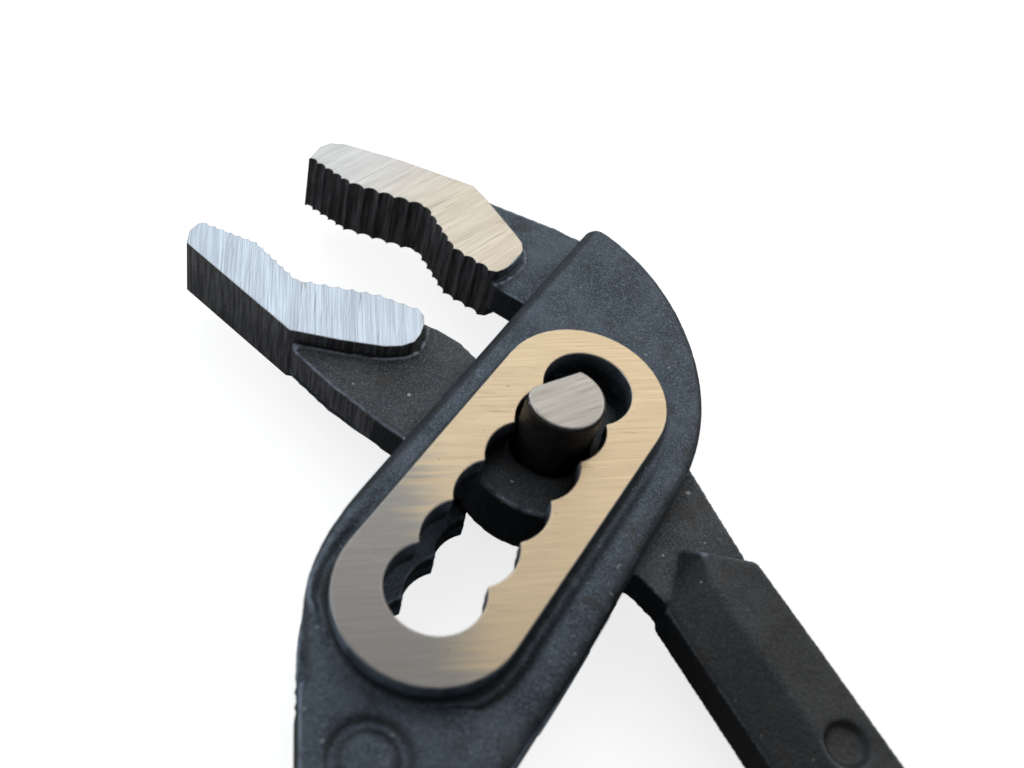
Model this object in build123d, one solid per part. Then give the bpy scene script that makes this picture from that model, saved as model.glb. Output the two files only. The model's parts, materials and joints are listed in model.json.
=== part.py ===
"""Tongue and groove pliers, 250 mm class, box joint with a six-notch slot.

Millimetres.  +Y runs along the slot towards the upper jaw, -X towards the jaw
tips, +Z out of the front face.  The tool lies flat on its back pad, with the
pin in the second notch.  It is drawn about the pivot pin axis at mid-thickness
and moved, when it is written, so that the origin is the middle of its
footprint on the bench.
"""
import math
import os

from build123d import *

os.makedirs("parts", exist_ok=True)

# ---- adjusting slot and pin -------------------------------------------------
NOTCH_PITCH = 6.0
NOTCH_COUNT = 6
REST_NOTCH = 1                  # counted from 0 at the upper end
NOTCH_R = 4.85
SLOT_X = 0.45                   # slot centre line; the pin seats on its near side
PIN_R = 4.2
PIN_FLAT = 2.35                 # distance of the flat from the pin axis
PIN_FLAT_DIR = 150.3            # degrees, outward normal of the flat
PIN_RELIEF = 3.3                # nose ground back so it clears the slot cusps
PIN_PROUD = 4.1
PIN_BACK_RECESS = 0.3
PIN_CHAMFER = 0.35
RUNNING_GAP = 0.05

# ---- thicknesses, all half values about mid-plane ---------------------------
PAD_HALF = 7.2
BOX_HALF = 6.2
CAVITY_HALF = 3.6
HUB_HALF = 3.5
WEB_HALF = 2.15
JAW_HALF = 3.9
HANDLE_HALF = 4.4
TANG_HALF = 3.4

# ---- box --------------------------------------------------------------------
BOX_LEFT = -12.0
BOX_TOP = 30.4
BOX_EDGE = 1.4                  # chamfer leg along the jaw side of the box
PAD_HALF_W = 9.2
PAD_X = 0.5
PAD_TOP_Y = 5.0
PAD_BOTTOM_Y = -24.8
TAPER_TOP_Y = -10.0
TAPER_END_Y = -36.0

# ---- jaws -------------------------------------------------------------------
# tooth pitch on each straight stretch of the gripping line, from tip to root
UPPER_TOOTH_PITCHES = (1.25, 1.9, 1.6, 1.75)
UPPER_TOOTH_DEPTH = 0.48
LOWER_TOOTH_PITCHES = (1.1, 1.2, 1.45, 1.7)
LOWER_TOOTH_DEPTH = 0.28

# ---- inner member -----------------------------------------------------------
HUB_R = 9.5
PANEL_BEVEL = 5.0
DIMPLE_AT = (39.6, -12.7)
DIMPLE_R = 2.2
RECESS_DEPTH = 0.7

# ---- handles and grips ------------------------------------------------------
OUTER_HANDLE_W = 13.4
INNER_HANDLE_W = 11.0
OUTER_TANG_W = 12.8
INNER_TANG_W = 10.4
TANG_LAP = 0.02                 # tang run into the handle, as a line fraction
ROOT_AT = 0.12                  # where the outer handle edges become parallel
TANG_START = 0.37               # fractions of the handle centre line
GRIP_START = 0.40
GRIP_GAP = 0.05
GRIP_WALL = 2.4
GRIP_HALF = 6.4
ROUNDEL_AT = (4.3, -39.5)
ROUNDEL_R = 3.8
ROUNDEL_ISLAND_R = 2.5
FAR = 60.0                      # reach of cutting tools well past the part


def slab(face, half):
    """Extrude a plan face equally to both sides of mid-plane."""
    return extrude(face, amount=half, both=True)


def plan(*pieces):
    """Closed plan face from lines and curves given head to tail."""
    return make_face(Curve() + list(pieces))


def outline(*points):
    """Closed plan face with straight sides."""
    return make_face(Polyline(*points, close=True))


def edge_points(line, offset, start, stop, count):
    """Points at a constant distance beside a centre line."""
    points = []
    for i in range(count):
        t = start + (stop - start) * i / (count - 1)
        centre, heading = line @ t, line % t
        points.append((centre.X - offset * heading.Y, centre.Y + offset * heading.X))
    return points


def strip(line, half_width, start):
    """Handle shape of constant width from `start` to a round end."""
    left = edge_points(line, -half_width, start, 1.0, 7)
    right = edge_points(line, half_width, start, 1.0, 7)
    end, heading = line @ 1, line % 1
    tip = (end.X + half_width * heading.X, end.Y + half_width * heading.Y)
    return plan(
        Spline(*left),
        ThreePointArc(left[-1], tip, right[-1]),
        Spline(*right[::-1]),
        Line(right[0], left[0]),
    )


def scallops(points, side, pitches, depth):
    """Round gullets that leave sharp ridges along a gripping line."""
    gullets = Sketch()
    for (x0, y0), (x1, y1), pitch in zip(points[:-1], points[1:], pitches):
        radius = pitch**2 / (8 * depth) + depth / 2
        length = math.hypot(x1 - x0, y1 - y0)
        ux, uy = (x1 - x0) / length, (y1 - y0) / length
        count = max(1, round(length / pitch))
        for i in range(count):
            run = (i + 0.5) * length / count
            off = side * (radius - depth)
            gullets += Pos(x0 + ux * run - uy * off, y0 + uy * run + ux * off) * Circle(radius)
    return gullets


# ---- handle centre lines ----------------------------------------------------
outer_line = Spline(
    (8.4, -41.0), (33.0, -82.0), (68.0, -130.0), (106.0, -170.0),
    tangents=((0.5, -0.86), (0.72, -0.69)),
)
inner_line = Spline(
    (22.0, -4.6), (32.0, -10.2), (85.0, -43.0), (130.0, -79.0), (164.0, -115.0),
    tangents=((0.87, -0.49), (0.68, -0.73)),
)

# ---- box member: plates, handle ---------------------------------------------
left = edge_points(outer_line, -OUTER_HANDLE_W / 2, ROOT_AT, TANG_START, 4)
right = edge_points(outer_line, OUTER_HANDLE_W / 2, ROOT_AT, TANG_START, 4)
box_plan = plan(
    Spline(
        (BOX_LEFT, -14.0), (-10.3, -28.6), (-5.2, -36.6), *left,
        tangents=[(0, -1), outer_line % TANG_START],
    ),
    Line(left[-1], right[-1]),
    Spline(*right[::-1], (15.7, -38.0), (15.3, -24.0), (14.9, -10.0), (14.2, 4.0)),
    Spline((14.2, 4.0), (12.9, 10.6), (5.9, 21.9), (-3.7, 28.7), (-10.0, BOX_TOP)),
    Line((-10.0, BOX_TOP), (BOX_LEFT, BOX_TOP)),
    Line((BOX_LEFT, BOX_TOP), (BOX_LEFT, -14.0)),
)
taper = Spline(
    (0, TAPER_TOP_Y, BOX_HALF), (0, TAPER_END_Y, HANDLE_HALF),
    tangents=[(0, -1, 0), (0, -1, 0)],
)
taper_back = mirror(taper, Plane.XY)
side_profile = plan(
    Line((0, FAR, BOX_HALF), (0, TAPER_TOP_Y, BOX_HALF)),
    taper,
    Line((0, TAPER_END_Y, HANDLE_HALF), (0, -3 * FAR, HANDLE_HALF)),
    Line((0, -3 * FAR, HANDLE_HALF), (0, -3 * FAR, -HANDLE_HALF)),
    Line((0, -3 * FAR, -HANDLE_HALF), (0, TAPER_END_Y, -HANDLE_HALF)),
    taper_back,
    Line((0, TAPER_TOP_Y, -BOX_HALF), (0, FAR, -BOX_HALF)),
    Line((0, FAR, -BOX_HALF), (0, FAR, BOX_HALF)),
)
box = slab(box_plan, BOX_HALF) & extrude(side_profile, amount=2 * FAR, both=True)
bevel_side = BOX_EDGE * math.sqrt(2)
for face in (1, -1):
    corner = Plane.XZ * Pos(BOX_LEFT, face * BOX_HALF)
    bevel = corner * Rot(0, 0, 45) * Rectangle(bevel_side, bevel_side)
    box -= extrude(bevel, amount=2 * FAR, both=True)
pad_plan = Pos(PAD_X, (PAD_TOP_Y + PAD_BOTTOM_Y) / 2) * SlotCenterToCenter(
    PAD_TOP_Y - PAD_BOTTOM_Y, 2 * PAD_HALF_W, rotation=90
)
box += slab(pad_plan, PAD_HALF)
box += slab(strip(outer_line, OUTER_TANG_W / 2, TANG_START - TANG_LAP), TANG_HALF)

# ---- box member: upper jaw ---------------------------------------------------
UPPER_GRIP = [(-44.8, 17.7), (-38.6, 17.4), (-29.6, 20.4), (-23.2, 16.7), (-18.1, 16.7)]
upper_web = outline(
    (BOX_LEFT + 1, 16.7), *UPPER_GRIP[::-1], (-45.1, 20.4), (-43.4, 23.0), (-36.6, 25.4),
    (-27.7, 28.2), (-16.0, 30.6), (BOX_LEFT + 1, 31.0),
)
upper_plate = outline(
    *UPPER_GRIP, (-17.2, 17.2), (-16.7, 18.3), (-16.4, 19.8), (-16.4, 21.4), (-16.7, 22.5), (-17.4, 23.5),
    (-18.7, 24.2), (-24.7, 27.0), (-27.2, 27.9), (-36.6, 25.4), (-43.2, 23.0), (-44.6, 21.9), (-45.1, 20.4),
)
box += slab(upper_web, WEB_HALF)
box += slab(upper_plate, JAW_HALF)
box -= slab(scallops(UPPER_GRIP, -1, UPPER_TOOTH_PITCHES, UPPER_TOOTH_DEPTH), PAD_HALF)

# ---- box member: cavity for the inner member, notched slot, roundel ------------
cavity = outline(
    (-FAR, 16.2), (-5.0, 16.2), (8.0, 20.8), (FAR, 20.8), (FAR, -60.0), (24.0, -45.5),
    (15.4, -37.8), (11.0, -35.0), (1.0, -34.6), (-3.0, -37.0), (-12.0, -41.5), (-FAR, -60.0),
)
box -= slab(cavity, CAVITY_HALF)
for n in range(NOTCH_COUNT):
    notch_y = (REST_NOTCH - n) * NOTCH_PITCH
    box -= slab(Pos(SLOT_X, notch_y) * Circle(NOTCH_R), 2 * PAD_HALF)
roundel = Circle(ROUNDEL_R) - Circle(ROUNDEL_ISLAND_R)
box -= extrude(Pos(*ROUNDEL_AT, HANDLE_HALF) * roundel, amount=RECESS_DEPTH, both=True)

# ---- pivot pin ----------------------------------------------------------------
pin_top = PAD_HALF + PIN_PROUD
pin_bottom = PIN_BACK_RECESS - PAD_HALF
pin = Pos(0, 0, pin_bottom) * extrude(Circle(PIN_R), amount=pin_top - pin_bottom)
pin = chamfer(pin.edges().filter_by(GeomType.CIRCLE), PIN_CHAMFER)
flat = Rot(0, 0, PIN_FLAT_DIR) * Pos(PIN_FLAT + PIN_R, 0) * Rectangle(2 * PIN_R, 4 * PIN_R)
nose = Pos(-PIN_RELIEF - PIN_R, 0) * Rectangle(2 * PIN_R, 4 * PIN_R)
shaping = flat + nose
pin -= extrude(Pos(0, 0, HUB_HALF) * shaping, amount=3 * PAD_HALF)
pin -= extrude(Pos(0, 0, -HUB_HALF) * shaping, amount=-3 * PAD_HALF)

# ---- inner member: lower jaw, bar, handle ----------------------------------------
LOWER_GRIP = [(-46.6, 1.0), (-40.6, 2.4), (-33.8, 0.8), (-25.5, 5.1), (-21.2, 6.2)]
inner_web = outline(
    *LOWER_GRIP, (-18.0, 6.6), (-15.4, 6.7), (-12.3, 5.8), (-8.0, 6.4), (2.0, 9.3), (13.8, 8.1),
    (23.4, 1.6), (27.0, -3.0), (24.0, -9.0), (19.8, -8.9), (15.4, -7.6), (4.0, -8.2), (-8.0, -8.9),
    (-13.7, -8.6), (-22.1, -8.1), (-28.4, -6.8), (-29.8, -5.7), (-46.2, -2.9), (-47.2, -1.2), (-47.2, 0.4),
)
lower_plate = outline(
    *LOWER_GRIP, (-19.9, 5.7), (-19.2, 4.7), (-18.7, 3.2), (-18.6, 1.8), (-19.3, 0.4), (-20.7, -0.9),
    (-24.9, -3.3), (-29.8, -5.7), (-46.2, -2.9), (-47.2, -1.2), (-47.2, 0.4),
)
inner = slab(inner_web, WEB_HALF)
inner += slab(lower_plate, JAW_HALF)
inner -= slab(scallops(LOWER_GRIP, 1, LOWER_TOOTH_PITCHES, LOWER_TOOTH_DEPTH), PAD_HALF)
inner += slab(Circle(HUB_R), HUB_HALF)

panel_left = edge_points(inner_line, -INNER_HANDLE_W / 2, 0.0, TANG_START, 5)
panel_right = edge_points(inner_line, INNER_HANDLE_W / 2, 0.0, TANG_START, 5)
crest_left = edge_points(inner_line, PANEL_BEVEL - INNER_HANDLE_W / 2, 0.0, TANG_START, 5)
panel_base = plan(
    Spline(*panel_left),
    Line(panel_left[-1], panel_right[-1]),
    Spline(*panel_right[::-1]),
    Polyline(panel_right[0], (17.4, -2.2), panel_left[0]),
)
panel_top = plan(
    Spline(*crest_left),
    Line(crest_left[-1], panel_right[-1]),
    Spline(*panel_right[::-1]),
    Polyline(panel_right[0], (19.4, -2.4), crest_left[0]),
)
panel = loft([Pos(0, 0, WEB_HALF) * panel_base, Pos(0, 0, HANDLE_HALF) * panel_top], ruled=True)
inner += slab(panel_base, WEB_HALF)
inner += panel
inner += mirror(panel, Plane.XY)
inner += slab(strip(inner_line, INNER_TANG_W / 2, TANG_START - TANG_LAP), TANG_HALF)
inner -= slab(Circle(PIN_R + RUNNING_GAP), 2 * PAD_HALF)
inner -= extrude(Pos(*DIMPLE_AT, HANDLE_HALF) * Circle(DIMPLE_R), amount=RECESS_DEPTH, both=True)


# ---- grips ---------------------------------------------------------------------
def grip(line, half_width):
    """Dipped sleeve, closed at the end, with a bore that clears the tang."""
    body = slab(strip(line, half_width + GRIP_WALL, GRIP_START), GRIP_HALF)
    bore = slab(strip(line, half_width + GRIP_GAP, GRIP_START - TANG_LAP), TANG_HALF + GRIP_GAP)
    return body - bore


parts = {
    "outer_jaw_handle": box,
    "inner_jaw_handle": inner,
    "pivot_pin": pin,
    "outer_handle_grip": grip(outer_line, OUTER_TANG_W / 2),
    "inner_handle_grip": grip(inner_line, INNER_TANG_W / 2),
}
footprint = Compound(children=[Part(shape.wrapped) for shape in parts.values()]).bounding_box()
middle = footprint.center()
pivot_at = Pos(-middle.X, -middle.Y, PAD_HALF)
for name, shape in parts.items():
    export_step(pivot_at * shape, f"parts/{name}.step")
    print(name, len(shape.solids()), round(shape.volume), flush=True)
print("pivot at", [round(v, 3) for v in pivot_at.position], flush=True)
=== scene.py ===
"""Tongue and groove pliers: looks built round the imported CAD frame.

Places are millimetres from the pivot pin axis at mid-thickness: +Y along the
slot to the upper jaw, -X to the jaw tips, +Z out of the front face.
"""
import json
import math

import bmesh
import bpy
import numpy as np
from mathutils import Matrix, Vector
from mathutils.kdtree import KDTree


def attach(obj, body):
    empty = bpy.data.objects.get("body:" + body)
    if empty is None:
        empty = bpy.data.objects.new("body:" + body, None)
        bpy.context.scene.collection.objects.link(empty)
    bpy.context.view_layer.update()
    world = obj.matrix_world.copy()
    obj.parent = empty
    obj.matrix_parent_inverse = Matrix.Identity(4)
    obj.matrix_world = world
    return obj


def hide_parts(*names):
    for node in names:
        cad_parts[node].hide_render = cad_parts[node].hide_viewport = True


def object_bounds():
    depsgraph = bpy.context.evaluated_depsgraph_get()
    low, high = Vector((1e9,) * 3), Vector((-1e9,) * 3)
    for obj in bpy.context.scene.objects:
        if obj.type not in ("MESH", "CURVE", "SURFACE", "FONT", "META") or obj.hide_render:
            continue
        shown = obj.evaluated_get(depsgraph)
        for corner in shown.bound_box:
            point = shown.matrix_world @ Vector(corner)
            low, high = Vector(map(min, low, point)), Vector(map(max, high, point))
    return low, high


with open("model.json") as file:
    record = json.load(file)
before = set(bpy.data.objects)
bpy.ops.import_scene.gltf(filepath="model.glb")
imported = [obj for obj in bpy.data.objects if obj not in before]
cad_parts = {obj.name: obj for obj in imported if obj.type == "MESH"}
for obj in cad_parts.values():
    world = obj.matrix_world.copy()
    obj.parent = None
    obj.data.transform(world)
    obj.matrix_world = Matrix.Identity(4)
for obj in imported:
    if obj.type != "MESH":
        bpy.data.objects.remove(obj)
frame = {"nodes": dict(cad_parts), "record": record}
cad_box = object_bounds()
MM = 0.001
joints = {j["name"]: j for j in frame["record"]["behaviour"]["joints"]}
PIVOT = Vector(joints["pivot_hinge"]["pos_m"])

# ---- sizes of the part, millimetres from the pivot ------------------------------
PAD_Z = 7.2                     # faces of the slot pads
PAD_X = 0.5
PAD_HALF_W = 9.2
PAD_LOW_Y = -24.8
PAD_HIGH_Y = 5.0
JAW_Z = 3.9                     # ground faces of both jaws
JAW_X = -16.6                   # the ground jaw plates end here
JAW_LIMIT_X = -14.0             # only jaw faces lie beyond this at jaw height
PIN_TOP = 11.3
CAVITY_Z = 3.6                  # the box is hollow below this
BOX_LEFT = -12.0
WEB_Z = 2.15                    # the thin web behind each jaw
TANG_Y = -84.0                  # the handle is under its grip beyond this

# ---- sizes of the looks, millimetres --------------------------------------------
WELD_GAP = 0.002
FORGED_VOXEL = 0.30
BOX_PASSES = 7
TONGUE_PASSES = 5
SLEEVE_VOXEL = 0.5
SLEEVE_PASSES = 2
JAW_EDGE = 0.12                 # rounding of the ground pieces' edges
PAD_EDGE = 0.16
PIN_EDGE = 0.10
PAD_DEPTH = 2.0                 # how deep the crisp pads run into the skin
UPPER_CORE_X = -17.2            # the skin sinks inside the crisp jaws beyond these
LOWER_CORE_X = -18.6
CORE_INSET = 0.35
GROOVE_DEPTH = 0.8
GROOVE_AT = 0.7                 # from the pad's edge
GROOVE_WIDTH = 0.75
FOOT_FROM_X = -31.0
FOOT_RISE = 1.2
FOOT_REACH = 1.5
SLEEVE_BORE_Z = 4.0             # only a sleeve's outer skin lies above this
SLEEVE_ROUND = 5.4
SLEEVE_SETTLE = 30
FLOOR_HALF = 3000.0

# ---- camera: millimetres from the pivot, degrees ------------------------------------
CAM_AT = (17.44, -77.50, 103.10)
CAM_AZ = 16.79
CAM_EL = 49.43
CAM_ROLL = -18.18
CAM_LENS = 42.19
CAM_FOCUS = 136.0               # how far ahead of the camera it is sharpest
CAM_FSTOP = 26.0


# ================================================================ node helpers
class Graph:
    """Small wrapper that builds a material's nodes from expressions."""

    def __init__(self, name):
        self.mat = bpy.data.materials.new(name)
        self.mat.use_nodes = True
        self.nt = self.mat.node_tree
        self.bsdf = self.nt.nodes["Principled BSDF"]

    def node(self, kind, inputs=None, **props):
        n = self.nt.nodes.new(kind)
        for key, value in props.items():
            setattr(n, key, value)
        for key, value in (inputs or {}).items():
            self.put(n.inputs[key], value)
        return n

    def put(self, socket, value):
        if isinstance(value, bpy.types.NodeSocket):
            self.nt.links.new(value, socket)
        else:
            socket.default_value = value

    def math(self, op, a, b=0.0, c=0.0, clamp=False):
        n = self.node("ShaderNodeMath", operation=op, use_clamp=clamp)
        for i, v in enumerate((a, b, c)):
            if i < len(n.inputs):
                self.put(n.inputs[i], v)
        return n.outputs[0]

    def ramp(self, value, low, high, to_low=0.0, to_high=1.0):
        n = self.node("ShaderNodeMapRange", {0: value, 1: low, 2: high, 3: to_low, 4: to_high})
        n.interpolation_type = "SMOOTHSTEP"
        return n.outputs[0]

    def mix(self, fac, a, b):
        n = self.node("ShaderNodeMix", data_type="RGBA")
        self.put(n.inputs[0], fac)
        self.put(n.inputs[6], a)
        self.put(n.inputs[7], b)
        return n.outputs[2]

    def blend(self, fac, a, b):
        n = self.node("ShaderNodeMix", data_type="FLOAT")
        self.put(n.inputs[0], fac)
        self.put(n.inputs[2], a)
        self.put(n.inputs[3], b)
        return n.outputs[0]

    def place(self):
        """Millimetres from the pivot, before any pose."""
        coord = self.node("ShaderNodeTexCoord")
        shift = self.node(
            "ShaderNodeVectorMath", {0: coord.outputs["Object"], 1: PIVOT}, operation="SUBTRACT"
        )
        n = self.node("ShaderNodeVectorMath", {0: shift.outputs[0]}, operation="SCALE")
        n.inputs["Scale"].default_value = 1000.0
        return n.outputs[0]

    def noise(self, vector, per_mm, detail=4.0, rough=0.55, offset=(0, 0, 0)):
        m = self.node("ShaderNodeMapping", {"Vector": vector, "Location": offset})
        n = self.node("ShaderNodeTexNoise", {"Vector": m.outputs[0], "Scale": per_mm})
        n.inputs["Detail"].default_value = detail
        n.inputs["Roughness"].default_value = rough
        return n.outputs["Fac"]

    def streaks(self, vector, angle, along, across, detail=3.0, offset=(0, 0, 0)):
        """Noise drawn out along a direction in plan, for grinding lines."""
        turn = self.node("ShaderNodeMapping", {"Vector": vector, "Rotation": (0, 0, -math.radians(angle))})
        m = self.node("ShaderNodeMapping", {"Vector": turn.outputs[0], "Location": offset})
        m.inputs["Scale"].default_value = (1 / along, 1 / across, 1 / across)
        n = self.node("ShaderNodeTexNoise", {"Vector": m.outputs[0], "Scale": 1.0})
        n.inputs["Detail"].default_value = detail
        n.inputs["Roughness"].default_value = 0.6
        return n.outputs["Fac"]

    def bump(self, height, distance_mm, strength=1.0, normal=None):
        inputs = {"Height": height, "Distance": distance_mm * MM, "Strength": strength}
        n = self.node("ShaderNodeBump", inputs)
        if normal is not None:
            self.put(n.inputs["Normal"], normal)
        return n.outputs[0]

    def edge(self, radius_mm):
        """(rounded normal, how much it turns) near sharp edges."""
        bevel = self.node("ShaderNodeBevel", {"Radius": radius_mm * MM}, samples=4)
        geo = self.node("ShaderNodeNewGeometry")
        both = {0: bevel.outputs[0], 1: geo.outputs["Normal"]}
        dot = self.node("ShaderNodeVectorMath", both, operation="DOT_PRODUCT")
        return bevel.outputs[0], self.math("SUBTRACT", 1.0, dot.outputs["Value"])

    def split(self, vector):
        n = self.node("ShaderNodeSeparateXYZ", {0: vector})
        return n.outputs[0], n.outputs[1], n.outputs[2]


def ground_finish(g, p, region):
    """Tint, roughness and normal of one ground face: lines, haze, scratches, pits, a painted reflection that
    shifts the tint along a heading, and a painted highlight along the edges.
    """
    angle = region["angle"]
    x, y, _ = g.split(p)
    fine = g.streaks(p, angle, 9.0, 0.10, 2.0)
    hair = g.streaks(p, angle + 1.0, 14.0, 0.18, 3.0, (3, 8, 1))
    wide = g.streaks(p, angle - 2.0, 26.0, 0.8, 4.0, (23, 5, 2))
    deep = g.streaks(p, angle - 5.0, 5.0, 0.18, 1.0, (13, 2, 5))
    haze = g.noise(p, 0.12, 3.0, 0.5, (2, 19, 7))
    hair_share = g.math("MULTIPLY", g.ramp(hair, 0.3, 0.7), 0.45)
    fine_share = g.math("MULTIPLY", g.ramp(fine, 0.3, 0.7), 0.55)
    lines = g.math("ADD", hair_share, fine_share)
    tint, shade = region["tint"], region["shade"]
    # Painted reflection: tint and shade shift along a heading towards other colours, standing in for a
    # change in the light the ground face reflects.
    if "painted_reflection_fade" in region:
        heading, start, stop, painted_reflection_tint, painted_reflection_dark = region["painted_reflection_fade"]
        along = g.math("ADD", g.math("MULTIPLY", x, math.cos(math.radians(heading))),
                       g.math("MULTIPLY", y, math.sin(math.radians(heading))))
        along = g.math("ADD", along, g.math("MULTIPLY", g.math("SUBTRACT", wide, 0.5), 12.0))
        amount = g.ramp(along, start, stop)
        tint = g.mix(amount, tint, painted_reflection_tint)
        shade = g.mix(amount, shade, painted_reflection_dark)
    tone = g.mix(lines, shade, tint)
    tone = g.mix(g.ramp(haze, 0.35, 0.65, 0.0, 0.25), tone, shade)
    tone = g.mix(g.ramp(wide, 0.62, 0.40, 0.0, 0.3), tone, shade)
    scratch = g.ramp(deep, region.get("scratch", 0.66), 0.76)
    tone = g.mix(g.math("MULTIPLY", scratch, 0.55), tone, (0.20, 0.17, 0.14, 1))
    pit = g.ramp(g.noise(p, 1.6, 3.0, 0.7, (50, 4, 4)), 0.69, 0.75)
    tone = g.mix(g.math("MULTIPLY", pit, 0.7), tone, (0.08, 0.07, 0.06, 1))
    rough = g.ramp(lines, 0.0, 1.0, 0.44, 0.30)
    edge_normal, turn = g.edge(0.22)
    # Painted highlight: near the rounded edges the tone goes bluish-white, standing in for light caught by
    # the edge, and partly for polished wear.
    tone = g.mix(g.ramp(turn, 0.01, 0.12, 0.0, 0.6), tone, (0.92, 0.95, 1.0, 1))
    normal = g.bump(fine, 0.010, 0.5, edge_normal)
    normal = g.bump(hair, 0.02, 0.5, normal)
    return tone, rough, normal


def forged_finish(g, p, skin, occlusion):
    """Blue-black scale: sandy grain, clouds, specks, brown stains, rubbed edges with a painted highlight,
    and painted shade on tilted faces, in hollows (near-black, faintly brown) and, where given, towards the
    handle.
    """
    rounded, turn = g.edge(0.45)
    sand = g.noise(p, 2.6, 5.0, 0.62)
    grit = g.noise(p, 6.5, 2.0, 0.5, (31, 7, 3))
    cloud = g.noise(p, 0.16, 4.0, 0.6, (5, 11, 2))
    patch = g.noise(p, 0.55, 5.0, 0.65, (17, 3, 9))
    base = g.mix(g.ramp(cloud, 0.35, 0.65), skin["dark"], skin["light"])
    base = g.mix(g.ramp(grit, 0.50, 0.68, 0.0, 0.75), base, skin["grain"])
    rub = g.math("MULTIPLY", g.ramp(patch, 0.58, 0.74), g.ramp(sand, 0.42, 0.6), clamp=True)
    base = g.mix(g.math("MULTIPLY", rub, 0.5), base, skin["rub"])
    geo = g.node("ShaderNodeNewGeometry")
    tilt = g.node("ShaderNodeVectorTransform", {0: geo.outputs["Normal"]}, vector_type="NORMAL")
    tilt.convert_from, tilt.convert_to = "WORLD", "OBJECT"
    # Painted shade: faces tilted away from flat are darkened, standing in for the shade the sides fall into.
    painted_slope_shade = g.ramp(g.math("ABSOLUTE", g.split(tilt.outputs[0])[2]), 0.98, 0.86)
    base = g.mix(g.math("MULTIPLY", painted_slope_shade, 0.55), base, skin["painted_slope_shade"])
    # Rubbed edges, partly real wear and partly a painted highlight: ridges and turned edges are lightened in
    # patches towards the pale blue edge colour.
    ridge = g.math("MAXIMUM", g.ramp(geo.outputs["Pointiness"], 0.512, 0.545), g.ramp(turn, 0.02, 0.14))
    worn = g.math("MULTIPLY", ridge, g.ramp(patch, 0.34, 0.58, 0.25, 1.0), clamp=True)
    base = g.mix(g.math("MULTIPLY", worn, 0.75), base, skin["edge"])
    speck = g.ramp(g.noise(p, 1.25, 1.0, 0.4, (60, 21, 8)), 0.765, 0.79)
    base = g.mix(g.math("MULTIPLY", speck, 0.8), base, skin["speck"])
    stain = g.ramp(g.noise(p, 0.3, 4.0, 0.6, (9, 1, 40)), 0.56, 0.70, 0.0, 0.5)
    base = g.mix(stain, base, skin["brown"])
    x, y, _ = g.split(p)
    # Painted shade: the skin darkens towards +x, standing in for the handle lying outside the softboxes'
    # light.
    if "far" in skin:
        base = g.mix(g.ramp(x, 14.0, 30.0, 0.0, 0.55), base, skin["far"])
    # Painted shade: where the AO finds hollows, the colour goes near-black with a faint brown cast, standing
    # in for shade in creases and recesses.
    base = g.mix(g.ramp(occlusion, 0.75, 0.25), base, skin["painted_hollow_shade"])
    rough = g.ramp(sand, 0.3, 0.7, 0.36, 0.58)
    normal = g.bump(sand, 0.16, 0.8, rounded)
    normal = g.bump(cloud, 0.5, 0.3, normal)
    return base, rough, normal


def flank_finish(g, p):
    """Dark machined walls of a jaw, marked from face to face."""
    m = g.node("ShaderNodeMapping", {"Vector": p})
    m.inputs["Scale"].default_value = (3.2, 3.2, 0.22)
    n = g.node("ShaderNodeTexNoise", {"Vector": m.outputs[0], "Scale": 1.0})
    n.inputs["Detail"].default_value = 4.0
    marks = n.outputs["Fac"]
    tone = g.mix(g.ramp(marks, 0.32, 0.72), (0.070, 0.070, 0.074, 1), (0.23, 0.23, 0.24, 1))
    rub = g.ramp(g.noise(p, 1.1, 4.0, 0.65, (8, 30, 4)), 0.62, 0.72, 0.0, 0.4)
    tone = g.mix(rub, tone, (0.30, 0.28, 0.25, 1))
    return tone, marks


def steel_material(name, skin, regions):
    """Forged skin with bright ground faces.

    A region is a ground face: its height from mid-plane, the x range it covers,
    the direction of its grinding lines, its tint and shade, and the painted reflection colours these shift
    to along a heading.
    """
    g = Graph(name)
    p = g.place()
    x, y, z = g.split(p)
    geo = g.node("ShaderNodeNewGeometry")
    local = g.node("ShaderNodeVectorTransform", {0: geo.outputs["True Normal"]})
    local.vector_type, local.convert_from, local.convert_to = "NORMAL", "WORLD", "OBJECT"
    level = g.ramp(g.math("ABSOLUTE", g.split(local.outputs[0])[2]), 0.3, 0.5)
    height = g.math("ABSOLUTE", z)
    painted_hollow_shade = g.node("ShaderNodeAmbientOcclusion", {"Distance": 3.5 * MM}, samples=6)
    occlusion = painted_hollow_shade.outputs["AO"]

    color, rough, normal = forged_finish(g, p, skin, occlusion)
    metal = skin["metal"]
    if any(region.get("jaw") for region in regions):
        flank = g.math("MULTIPLY", g.math("LESS_THAN", x, JAW_X), g.math("SUBTRACT", 1.0, level), clamp=True)
        tone, marks = flank_finish(g, p)
        color = g.mix(flank, color, tone)
        normal = g.bump(g.math("MULTIPLY", marks, flank), 0.05, 0.6, normal)
    for region in regions:
        at = g.math("COMPARE", height, region["height"], 0.12)
        low_x, high_x = region["x"]
        inside = g.math("MULTIPLY", g.math("GREATER_THAN", x, low_x), g.math("LESS_THAN", x, high_x))
        mask = g.math("MULTIPLY", g.math("MULTIPLY", at, inside), level, clamp=True)
        tone, ground_rough, ground_normal = ground_finish(g, p, region)
        color = g.mix(mask, color, tone)
        rough = g.blend(mask, rough, ground_rough)
        metal = g.blend(mask, metal, 1.0)
        pick = g.node("ShaderNodeMix", {0: mask}, data_type="VECTOR")
        g.put(pick.inputs[4], normal)
        g.put(pick.inputs[5], ground_normal)
        normal = pick.outputs[1]
    g.put(g.bsdf.inputs["Base Color"], color)
    g.put(g.bsdf.inputs["Roughness"], rough)
    g.put(g.bsdf.inputs["Metallic"], metal)
    g.put(g.bsdf.inputs["Normal"], normal)
    # Painted shade: the specular level is turned down in the hollows the AO finds.
    g.put(g.bsdf.inputs["Specular IOR Level"], g.ramp(occlusion, 0.15, 0.85, 0.05, 0.5))
    return g.mat


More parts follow.
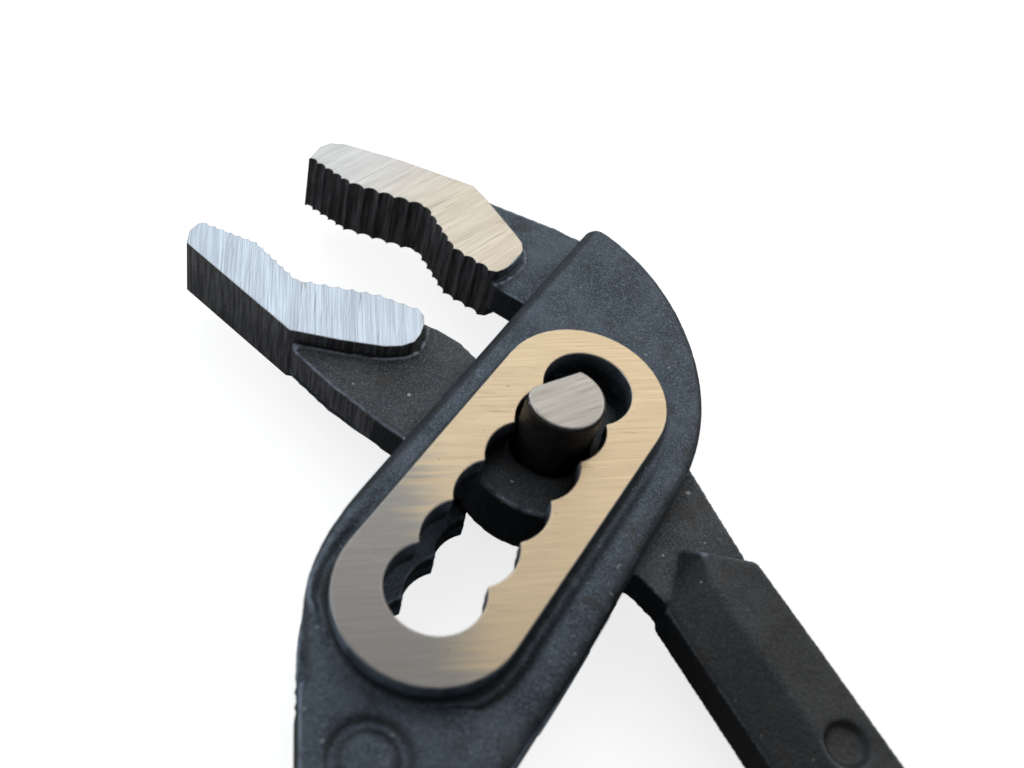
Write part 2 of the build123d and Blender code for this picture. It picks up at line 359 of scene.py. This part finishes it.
def vinyl_material():
    """Matt black dipped coat: faint peel, fine grain and a dusty sheen."""
    g = Graph("dipped_vinyl")
    p = g.place()
    peel = g.noise(p, 0.9, 3.0, 0.5)
    fine = g.noise(p, 4.0, 3.0, 0.6, (7, 7, 1))
    dust = g.noise(p, 0.25, 5.0, 0.65, (4, 20, 2))
    color = g.mix(g.ramp(dust, 0.4, 0.7, 0.0, 0.6), (0.018, 0.018, 0.02, 1), (0.045, 0.045, 0.05, 1))
    g.put(g.bsdf.inputs["Base Color"], color)
    g.put(g.bsdf.inputs["Roughness"], g.ramp(dust, 0.3, 0.7, 0.36, 0.55))
    normal = g.bump(fine, 0.03, 0.5, g.bump(peel, 0.12, 0.35))
    g.put(g.bsdf.inputs["Normal"], normal)
    g.bsdf.inputs["Coat Weight"].default_value = 0.15
    g.bsdf.inputs["Coat Roughness"].default_value = 0.35
    return g.mat


def floor_material():
    """Pale floor that looks white but throws little light back under the tool."""
    g = Graph("pale_floor")
    p = g.place()
    seen = g.node("ShaderNodeLightPath").outputs["Is Camera Ray"]
    tone = g.mix(g.ramp(g.noise(p, 0.01, 2.0), 0.3, 0.7), (0.55, 0.55, 0.55, 1), (0.60, 0.60, 0.595, 1))
    g.put(g.bsdf.inputs["Base Color"], g.mix(seen, (0.30, 0.30, 0.30, 1), tone))
    g.bsdf.inputs["Roughness"].default_value = 0.7
    g.put(g.bsdf.inputs["Emission Color"], (1, 1, 1, 1))
    g.put(g.bsdf.inputs["Emission Strength"], g.math("MULTIPLY", seen, 0.80))
    return g.mat


# ================================================================ mesh helpers
def baked(obj, name):
    """New object with obj's modifiers applied; obj is removed."""
    graph = bpy.context.evaluated_depsgraph_get()
    mesh = bpy.data.meshes.new_from_object(obj.evaluated_get(graph))
    bpy.data.objects.remove(obj)
    made = bpy.data.objects.new(name, mesh)
    mesh.name = name
    bpy.context.scene.collection.objects.link(made)
    return made


def welded(node, name):
    """Copy of a CAD node's mesh with its seams closed."""
    source = frame["nodes"][node]
    mesh = source.data.copy()
    mesh.materials.clear()
    work = bmesh.new()
    work.from_mesh(mesh)
    bmesh.ops.remove_doubles(work, verts=work.verts, dist=WELD_GAP * MM)
    bmesh.ops.recalc_face_normals(work, faces=work.faces)
    work.to_mesh(mesh)
    work.free()
    for attribute in [a.name for a in mesh.attributes if a.name == "custom_normal"]:
        mesh.attributes.remove(mesh.attributes[attribute])
    made = bpy.data.objects.new(name, mesh)
    bpy.context.scene.collection.objects.link(made)
    return made


def soften(obj, voxel, passes, name, shape=None):
    """Even skin with rounded edges, as forging or dipping leaves it.

    `shape` may move the even skin's points afterwards.
    """
    remesh = obj.modifiers.new("even", "REMESH")
    remesh.mode = "VOXEL"
    remesh.voxel_size = voxel * MM
    smooth = obj.modifiers.new("soft", "SMOOTH")
    smooth.factor = 0.5
    smooth.iterations = passes
    made = baked(obj, name)
    if shape:
        shape(made.data)
    made.data.polygons.foreach_set("use_smooth", [True] * len(made.data.polygons))
    return made


def points_and_normals(mesh):
    """Point places in millimetres from the pivot, and their normals, as arrays."""
    count = len(mesh.vertices)
    places = np.empty(count * 3)
    mesh.vertices.foreach_get("co", places)
    normals = np.empty(count * 3)
    mesh.vertices.foreach_get("normal", normals)
    return (places.reshape(-1, 3) - np.array(PIVOT)) / MM, normals.reshape(-1, 3)


def store_points(mesh, places):
    """Put places in millimetres from the pivot back into the mesh."""
    mesh.vertices.foreach_set("co", (places * MM + np.array(PIVOT)).ravel())
    mesh.update()


def ease(value, low, high):
    """Smooth step from 0 at low to 1 at high."""
    t = np.clip((value - low) / (high - low), 0.0, 1.0)
    return t * t * (3 - 2 * t)


def relax(mesh, places, weight, rounds):
    """Laplacian smoothing of the places, strongest where weight is 1."""
    count = len(mesh.edges)
    pairs = np.empty(count * 2, dtype=np.int64)
    mesh.edges.foreach_get("vertices", pairs)
    first, second = pairs[0::2], pairs[1::2]
    degree = np.bincount(pairs, minlength=len(places))[:, None]
    for _ in range(rounds):
        total = np.empty_like(places)
        for axis in range(3):
            total[:, axis] = np.bincount(first, places[second, axis], len(places))
            total[:, axis] += np.bincount(second, places[first, axis], len(places))
        places += weight[:, None] * 0.5 * (total / degree - places)
    return places


def pad_distance(places):
    """Distance in plan outside the stadium-shaped slot pad."""
    y = np.clip(places[:, 1], PAD_LOW_Y, PAD_HIGH_Y)
    return np.hypot(places[:, 0] - PAD_X, places[:, 1] - y) - PAD_HALF_W


def nearest(points, targets):
    """For each point, the index of the nearest target in plan, and how far it is."""
    tree = KDTree(len(targets))
    for i, (x, y) in enumerate(targets[:, :2]):
        tree.insert((x, y, 0), i)
    tree.balance()
    found = [tree.find((x, y, 0)) for x, y in points[:, :2]]
    return np.array([f[1] for f in found]), np.array([f[2] for f in found])


def round_shoulders(places, normals, radius, candidates, base_z):
    """Turn the square outer edge above `base_z`, front and back, into a quarter-round."""
    up = np.abs(normals[:, 2])
    outside = pad_distance(places)
    for side in (1, -1):
        on_side = candidates & (side * places[:, 2] > base_z)
        walls = np.flatnonzero(on_side & (up < 0.4))
        tops = np.flatnonzero(on_side & (up > 0.8))
        wall_at, top_at = places[walls], places[tops]
        wall_out = normals[walls] * (1, 1, 0)
        wall_out /= np.linalg.norm(wall_out, axis=1)[:, None]
        beside, gap = nearest(top_at, wall_at)
        above, _ = nearest(wall_at, top_at[gap < 1.0])
        rim_z = np.abs(top_at[gap < 1.0][above, 2])

        r = radius(top_at, outside[tops] + gap)
        turn = np.where(gap < r, np.pi / 4 * (1 + gap / r), np.pi / 2)
        slide = np.where(gap < r, gap - r * (1 - np.cos(turn)), 0)
        drop = np.where(gap < r, r * (1 - np.sin(turn)), 0)
        places[tops] += wall_out[beside] * slide[:, None]
        places[tops, 2] -= side * drop

        r = radius(wall_at, outside[walls])
        below = rim_z - np.abs(wall_at[:, 2])
        turn = np.pi / 4 * np.clip(1 - below / r, 0, 1)
        near = below < r
        places[walls] -= wall_out * np.where(near, r * (1 - np.cos(turn)), 0)[:, None]
        places[walls, 2] -= side * np.where(near, r * (1 - np.sin(turn)) - below, 0)
    return places


def shoulder_radius(at, band):
    """Wider on the palm side and the handle than round the head, never near the pad."""
    low = ease(at[:, 1], 6.0, -6.0)
    left = ease(at[:, 0], -4.0, -9.0) * ease(at[:, 1], -32.0, -26.0)
    wanted = 1.0 + 1.2 * low * (1 - left)
    return np.clip(wanted, 0.15, np.maximum(0.7 * (band - 1.0), 0.15))


def shape_box_member(mesh):
    """Worn shoulders round the box, a groove at the foot of the pad, hidden jaw core."""
    places, normals = points_and_normals(mesh)
    x, y, z = places.T.copy()
    outside = pad_distance(places)
    edge_band = (outside > 0.9) & ((x > BOX_LEFT + 0.8) | (y < -16)) & (y > TANG_Y)
    places = round_shoulders(places, normals, shoulder_radius, edge_band, CAVITY_Z + 0.2)
    settle = ease(np.abs(z), CAVITY_Z + 0.2, CAVITY_Z + 0.6) * ease(outside, 1.0, 1.8)
    settle *= ease(x, BOX_LEFT - 0.6, BOX_LEFT)
    places = relax(mesh, places, settle, 14)
    groove = np.exp(-(((outside - GROOVE_AT) / GROOVE_WIDTH) ** 2))
    side = 0.25 + 0.75 * ease(0.75 * x - 0.66 * y, 2.0, 10.0)
    top = ease(np.abs(normals[:, 2]), 0.6, 0.9) * (np.abs(z) > 4.6) * (outside > 0)
    places[:, 2] -= np.sign(z) * GROOVE_DEPTH * groove * side * top
    worn = ease(np.abs(z), CAVITY_Z + 0.8, CAVITY_Z + 1.2) * ease(outside, 0.1, 0.5)
    places = relax(mesh, places, worn * ease(outside, 5.0, 3.5), 8)
    in_pad = (outside < 0.25) & (np.abs(z) > PAD_Z - 1.2)
    places -= normals * (0.15 * in_pad)[:, None]
    top_z = PAD_Z - 0.6
    places[:, 2] = np.where(in_pad, np.clip(places[:, 2], -top_z, top_z), places[:, 2])
    raise_foot(mesh, places, normals, upper_jaw)
    hide_jaw_core(places, normals, UPPER_CORE_X)
    store_points(mesh, places)


def shape_inner_member(mesh):
    """Fillet at the jaw's foot and hidden jaw core."""
    places, normals = points_and_normals(mesh)
    raise_foot(mesh, places, normals, lower_jaw)
    hide_jaw_core(places, normals, LOWER_CORE_X)
    store_points(mesh, places)


def shape_sleeve(mesh):
    """Round a dipped sleeve's section and lip, leaving its bore alone."""
    places, normals = points_and_normals(mesh)
    height, up = np.abs(places[:, 2]), np.abs(normals[:, 2])
    walls = np.flatnonzero(up < 0.4)
    above_bore = places[(up < 0.4) & (height > SLEEVE_BORE_Z)]
    _, gap = nearest(places[walls], above_bore)
    outer = (up > 0.8) & (height > SLEEVE_BORE_Z)
    outer[walls[gap < 0.7]] = True
    places = round_shoulders(places, normals, sleeve_radius, outer, 0.2)
    store_points(mesh, relax(mesh, places, np.ones(len(places)), SLEEVE_SETTLE))


def sleeve_radius(at, band):
    """The same rounding all round a sleeve."""
    return np.full(len(at), SLEEVE_ROUND)


def raise_foot(mesh, places, normals, block):
    """Concave fillet where the raised jaw meets the web behind it."""
    points = [(v.co - PIVOT) / MM for v in block.data.vertices]
    sides = [[points[i] for i in edge.vertices] for edge in block.data.edges]
    rim = np.array([
        a.lerp(b, step) for a, b in sides if min(a.z, b.z) > JAW_Z - 0.5
        for step in np.linspace(0, 1, 2 + int((b - a).length / 0.3))
    ])
    web = np.flatnonzero(
        (np.abs(normals[:, 2]) > 0.9) & (np.abs(np.abs(places[:, 2]) - WEB_Z) < 0.15)
        & (places[:, 0] < JAW_LIMIT_X + 1) & (places[:, 0] > FOOT_FROM_X)
    )
    _, gap = nearest(places[web], rim)
    lift = FOOT_RISE * np.clip(1 - gap / FOOT_REACH, 0, 1) ** 2
    places[web, 2] += np.sign(places[web, 2]) * lift
    near = np.zeros(len(places))
    near[web] = ease(gap, FOOT_REACH + 0.5, FOOT_REACH)
    relax(mesh, places, near, 4)


def hide_jaw_core(places, normals, limit_x):
    """Sink the skin's jaw inside the crisp ground jaw that stands for it."""
    x, z = places[:, 0], np.abs(places[:, 2])
    walls = ease(np.abs(normals[:, 2]), 0.75, 0.55) * ease(x, limit_x + 0.3, limit_x - 0.3)
    crown = ease(z, 2.5, 2.9) * ease(x, limit_x + 2.2, limit_x + 1.6)
    depth = 0.03 + CORE_INSET * np.maximum(walls, crown)
    places -= normals * depth[:, None]


def ground_block(node, name, face_z, depth, limit_x):
    """Crisp block under a ground face: the CAD face at `face_z` carried inwards."""
    made = welded(node, name)
    side = math.copysign(1, face_z)
    work = bmesh.new()
    work.from_mesh(made.data)
    spare = []
    for face in work.faces:
        middle = (face.calc_center_median() - PIVOT) / MM
        if abs(middle.z - face_z) > 0.01 or face.normal.z * side < 0.99 or middle.x > limit_x:
            spare.append(face)
    bmesh.ops.delete(work, geom=spare, context="FACES")
    bmesh.ops.dissolve_limit(work, angle_limit=math.radians(1), verts=work.verts, edges=work.edges)
    grown = bmesh.ops.extrude_face_region(work, geom=work.faces[:])
    moved = [v for v in grown["geom"] if isinstance(v, bmesh.types.BMVert)]
    bmesh.ops.translate(work, vec=(0, 0, -side * depth * MM), verts=moved)
    bmesh.ops.recalc_face_normals(work, faces=work.faces)
    work.to_mesh(made.data)
    work.free()
    return made


def crisp(obj, width, name):
    """Small rounded edge on machined pieces, flat faces kept flat."""
    bevel = obj.modifiers.new("edge", "BEVEL")
    bevel.width = width * MM
    bevel.segments = 2
    bevel.limit_method = "ANGLE"
    bevel.angle_limit = math.radians(50)
    bevel.use_clamp_overlap = True
    flat_edges = set()
    made = baked(obj, name)
    made.data.polygons.foreach_set("use_smooth", [True] * len(made.data.polygons))
    made.data.set_sharp_from_angle(angle=math.radians(28))
    for polygon in made.data.polygons:
        if abs(polygon.normal.z) > 0.999:
            polygon.use_smooth = False
            for edge in polygon.edge_keys:
                flat_edges.add(edge)
    for edge in made.data.edges:
        if edge.key in flat_edges:
            edge.use_edge_sharp = True
    return made


def finish_piece(obj, material, body):
    """Material and body of one new piece."""
    obj.data.materials.clear()
    obj.data.materials.append(material)
    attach(obj, body)
    return obj


# ==================================================================== materials
# The skin tables also hold painted shade colours for tilted faces, for hollows and, in the inner skin, for
# the far handle; their edge colour is partly rubbed wear and partly a painted highlight.
OUTER_SKIN = {
    "dark": (0.045, 0.058, 0.074, 1), "light": (0.085, 0.106, 0.132, 1), "grain": (0.21, 0.25, 0.30, 1),
    "rub": (0.20, 0.25, 0.31, 1), "edge": (0.36, 0.45, 0.56, 1), "speck": (0.36, 0.38, 0.40, 1),
    "brown": (0.055, 0.045, 0.034, 1), "painted_hollow_shade": (0.012, 0.009, 0.006, 1),
    "painted_slope_shade": (0.030, 0.030, 0.028, 1), "metal": 0.7,
}
INNER_SKIN = {
    "dark": (0.040, 0.045, 0.052, 1), "light": (0.070, 0.076, 0.084, 1), "grain": (0.18, 0.19, 0.20, 1),
    "rub": (0.24, 0.26, 0.28, 1), "edge": (0.31, 0.36, 0.43, 1), "speck": (0.50, 0.48, 0.44, 1),
    "brown": (0.060, 0.048, 0.036, 1), "painted_hollow_shade": (0.012, 0.009, 0.006, 1),
    "painted_slope_shade": (0.012, 0.016, 0.020, 1), "metal": 0.65,
    "far": (0.030, 0.027, 0.024, 1),
}
PIN_SKIN = {
    "dark": (0.012, 0.011, 0.010, 1), "light": (0.022, 0.020, 0.018, 1), "grain": (0.05, 0.048, 0.045, 1),
    "rub": (0.05, 0.045, 0.04, 1), "edge": (0.05, 0.05, 0.05, 1), "speck": (0.30, 0.28, 0.25, 1),
    "brown": (0.030, 0.024, 0.018, 1), "painted_hollow_shade": (0.012, 0.009, 0.006, 1),
    "painted_slope_shade": (0.018, 0.018, 0.018, 1), "metal": 0.65,
}
# Painted reflection: the grey tones the pad shifts to, standing in for cooler light reflected on its lower
# side.
PAINTED_GREY_REFLECTION = (0.38, 0.36, 0.335, 1)
PAINTED_GREY_REFLECTION_DARK = (0.29, 0.265, 0.24, 1)
PAD_GROUND = {
    "height": PAD_Z, "x": (-20, 20), "angle": 42,
    # painted reflection, the tint fading to grey towards the handle as cooler light is reflected: heading in
    # degrees, then start and stop along it
    "tint": (0.76, 0.60, 0.40, 1), "shade": (0.58, 0.45, 0.295, 1),
    "painted_reflection_fade": (230, 12.5, 20.0, PAINTED_GREY_REFLECTION, PAINTED_GREY_REFLECTION_DARK),
}
UPPER_JAW_GROUND = {
    "height": JAW_Z, "x": (-60, JAW_X), "angle": 77, "jaw": True,
    "tint": (0.75, 0.66, 0.54, 1), "shade": (0.53, 0.45, 0.36, 1),
    # Painted reflection: towards the tip the jaw's tint turns neutral grey, standing in for the warm light
    # it reflects falling away.
    "painted_reflection_fade": (180, 26.0, 42.0, (0.72, 0.70, 0.67, 1), (0.48, 0.46, 0.445, 1)),
}
LOWER_JAW_GROUND = {
    "height": JAW_Z, "x": (-60, JAW_X), "angle": 126, "jaw": True,
    "tint": (0.72, 0.79, 0.87, 1), "shade": (0.40, 0.435, 0.48, 1),
    "scratch": 0.62,
}
PIN_GROUND = {
    "height": PIN_TOP, "x": (-9, 9), "angle": 60.3,
    "tint": (0.57, 0.53, 0.48, 1), "shade": (0.37, 0.34, 0.30, 1),
}
outer_steel = steel_material("outer_forged_steel", OUTER_SKIN, [PAD_GROUND, UPPER_JAW_GROUND])
inner_steel = steel_material("inner_forged_steel", INNER_SKIN, [LOWER_JAW_GROUND])
pin_steel = steel_material("pin_ground_steel", PIN_SKIN, [PIN_GROUND])
vinyl = vinyl_material()

# ================================================================== box member
upper_plate = ground_block("outer_jaw_handle", "upper_plate", JAW_Z, 2 * JAW_Z, JAW_LIMIT_X)
upper_jaw = crisp(upper_plate, JAW_EDGE, "upper_jaw")
finish_piece(upper_jaw, outer_steel, "outer_member")

outer_solid = welded("outer_jaw_handle", "outer_solid")
outer_body = soften(outer_solid, FORGED_VOXEL, BOX_PASSES, "outer_body", shape_box_member)
finish_piece(outer_body, outer_steel, "outer_member")
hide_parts("outer_jaw_handle")

for side, tag in ((1, "front"), (-1, "back")):
    pad_block = ground_block("outer_jaw_handle", "pad_block", side * PAD_Z, PAD_DEPTH, math.inf)
    pad = crisp(pad_block, PAD_EDGE, "slot_pad_" + tag)
    finish_piece(pad, outer_steel, "outer_member")

# ================================================================ inner member
lower_plate = ground_block("inner_jaw_handle", "lower_plate", JAW_Z, 2 * JAW_Z, JAW_LIMIT_X)
lower_jaw = crisp(lower_plate, JAW_EDGE, "lower_jaw")
finish_piece(lower_jaw, inner_steel, "inner_member")

inner_solid = welded("inner_jaw_handle", "inner_solid")
inner_body = soften(inner_solid, FORGED_VOXEL, TONGUE_PASSES, "inner_body", shape_inner_member)
finish_piece(inner_body, inner_steel, "inner_member")
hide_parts("inner_jaw_handle")

# ============================================================= pin and the grips
pin = crisp(welded("pivot_pin", "pin_solid"), PIN_EDGE, "pivot_pin_ground")
finish_piece(pin, pin_steel, "pin")
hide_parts("pivot_pin")

for node, body, slot, name in (
    ("outer_handle_grip", "outer_member", "outer_grip", "outer_grip_sleeve"),
    ("inner_handle_grip", "inner_member", "inner_grip", "inner_grip_sleeve"),
):
    sleeve = soften(welded(node, "sleeve_solid"), SLEEVE_VOXEL, SLEEVE_PASSES, name, shape_sleeve)
    finish_piece(sleeve, vinyl, body)
    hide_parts(node)

# ====================================================================== the set
floor_z = cad_box[0].z
floor_mesh = bpy.data.meshes.new("floor")
work = bmesh.new()
bmesh.ops.create_grid(work, x_segments=1, y_segments=1, size=FLOOR_HALF * MM)
bmesh.ops.translate(work, vec=(0, 0, floor_z), verts=work.verts)
work.to_mesh(floor_mesh)
work.free()
floor = bpy.data.objects.new("floor", floor_mesh)
bpy.context.scene.collection.objects.link(floor)
floor.data.materials.append(floor_material())


def softbox(name, toward, distance, size, radiance, color):
    """Rectangular light facing the pivot; distance and size in metres."""
    light = bpy.data.lights.new(name, "AREA")
    light.shape = "RECTANGLE"
    light.size, light.size_y = size
    light.energy = radiance * math.pi * size[0] * size[1]
    light.color = color
    obj = bpy.data.objects.new(name, light)
    heading = Vector(toward).normalized()
    obj.location = PIVOT + heading * distance
    obj.rotation_mode = "QUATERNION"
    obj.rotation_quaternion = (-heading).to_track_quat("-Z", "Y")
    bpy.context.scene.collection.objects.link(obj)
    return obj


softbox("cool_back", (-0.62, 0.52, 0.62), 0.9, (0.85, 0.80), 1.06, (0.88, 0.95, 1.0))
softbox("warm_back", (0.22, 0.80, 0.62), 0.9, (0.80, 0.60), 1.12, (1.0, 0.96, 0.90))
softbox("left_fill", (-0.80, -0.45, 0.34), 0.26, (0.18, 0.18), 1.3, (0.95, 0.97, 1.0))

# The sky is soft and brightest behind the tool; the camera sees it as plain white.
SKY_DIM = 0.08
SKY_BRIGHT = 0.42
SKY_BRIGHTEST_AT = (-0.15, 0.65, 0.75)
world = bpy.data.worlds.new("studio")
world.use_nodes = True
nodes, links = world.node_tree.nodes, world.node_tree.links
coord = nodes.new("ShaderNodeTexCoord")
toward = nodes.new("ShaderNodeVectorMath")
toward.operation = "DOT_PRODUCT"
toward.inputs[1].default_value = Vector(SKY_BRIGHTEST_AT).normalized()
links.new(coord.outputs["Generated"], toward.inputs[0])
level = nodes.new("ShaderNodeMapRange")
level.inputs[1].default_value = -0.2
level.inputs[2].default_value = 1.0
level.inputs[3].default_value = SKY_DIM
level.inputs[4].default_value = SKY_BRIGHT
links.new(toward.outputs["Value"], level.inputs[0])
seen = nodes.new("ShaderNodeLightPath")
strength = nodes.new("ShaderNodeMix")
strength.data_type = "FLOAT"
strength.inputs[3].default_value = 1.0
links.new(seen.outputs["Is Camera Ray"], strength.inputs[0])
links.new(level.outputs[0], strength.inputs[2])
background = nodes["Background"]
background.inputs[0].default_value = (0.94, 0.97, 1.0, 1)
links.new(strength.outputs[0], background.inputs[1])
bpy.context.scene.world = world

# ==================================================================== the camera
az, el, roll = (math.radians(v) for v in (CAM_AZ, CAM_EL, CAM_ROLL))
back = Vector((math.sin(az) * math.cos(el), -math.cos(az) * math.cos(el), math.sin(el)))
level_right = (-back).cross(Vector((0, 0, 1))).normalized()
level_up = level_right.cross(-back)
right = math.cos(roll) * level_right - math.sin(roll) * level_up
up = back.cross(right)
cam_data = bpy.data.cameras.new("camera")
cam_data.lens = CAM_LENS
cam_data.sensor_width = 36.0
cam_data.clip_start = 0.01
sharp_at = bpy.data.objects.new("focus", None)
bpy.context.scene.collection.objects.link(sharp_at)
sharp_at.location = PIVOT + (Vector(CAM_AT) - CAM_FOCUS * back) * MM
cam_data.dof.use_dof = True
cam_data.dof.focus_object = sharp_at
cam_data.dof.aperture_fstop = CAM_FSTOP
camera = bpy.data.objects.new("camera", cam_data)
bpy.context.scene.collection.objects.link(camera)
camera.matrix_world = Matrix.Translation(Vector(CAM_AT) * MM + PIVOT) @ Matrix(
    (
        (right.x, up.x, back.x, 0),
        (right.y, up.y, back.y, 0),
        (right.z, up.z, back.z, 0),
        (0, 0, 0, 1),
    )
)
bpy.context.scene.camera = camera
bpy.context.scene.view_settings.view_transform = "Standard"
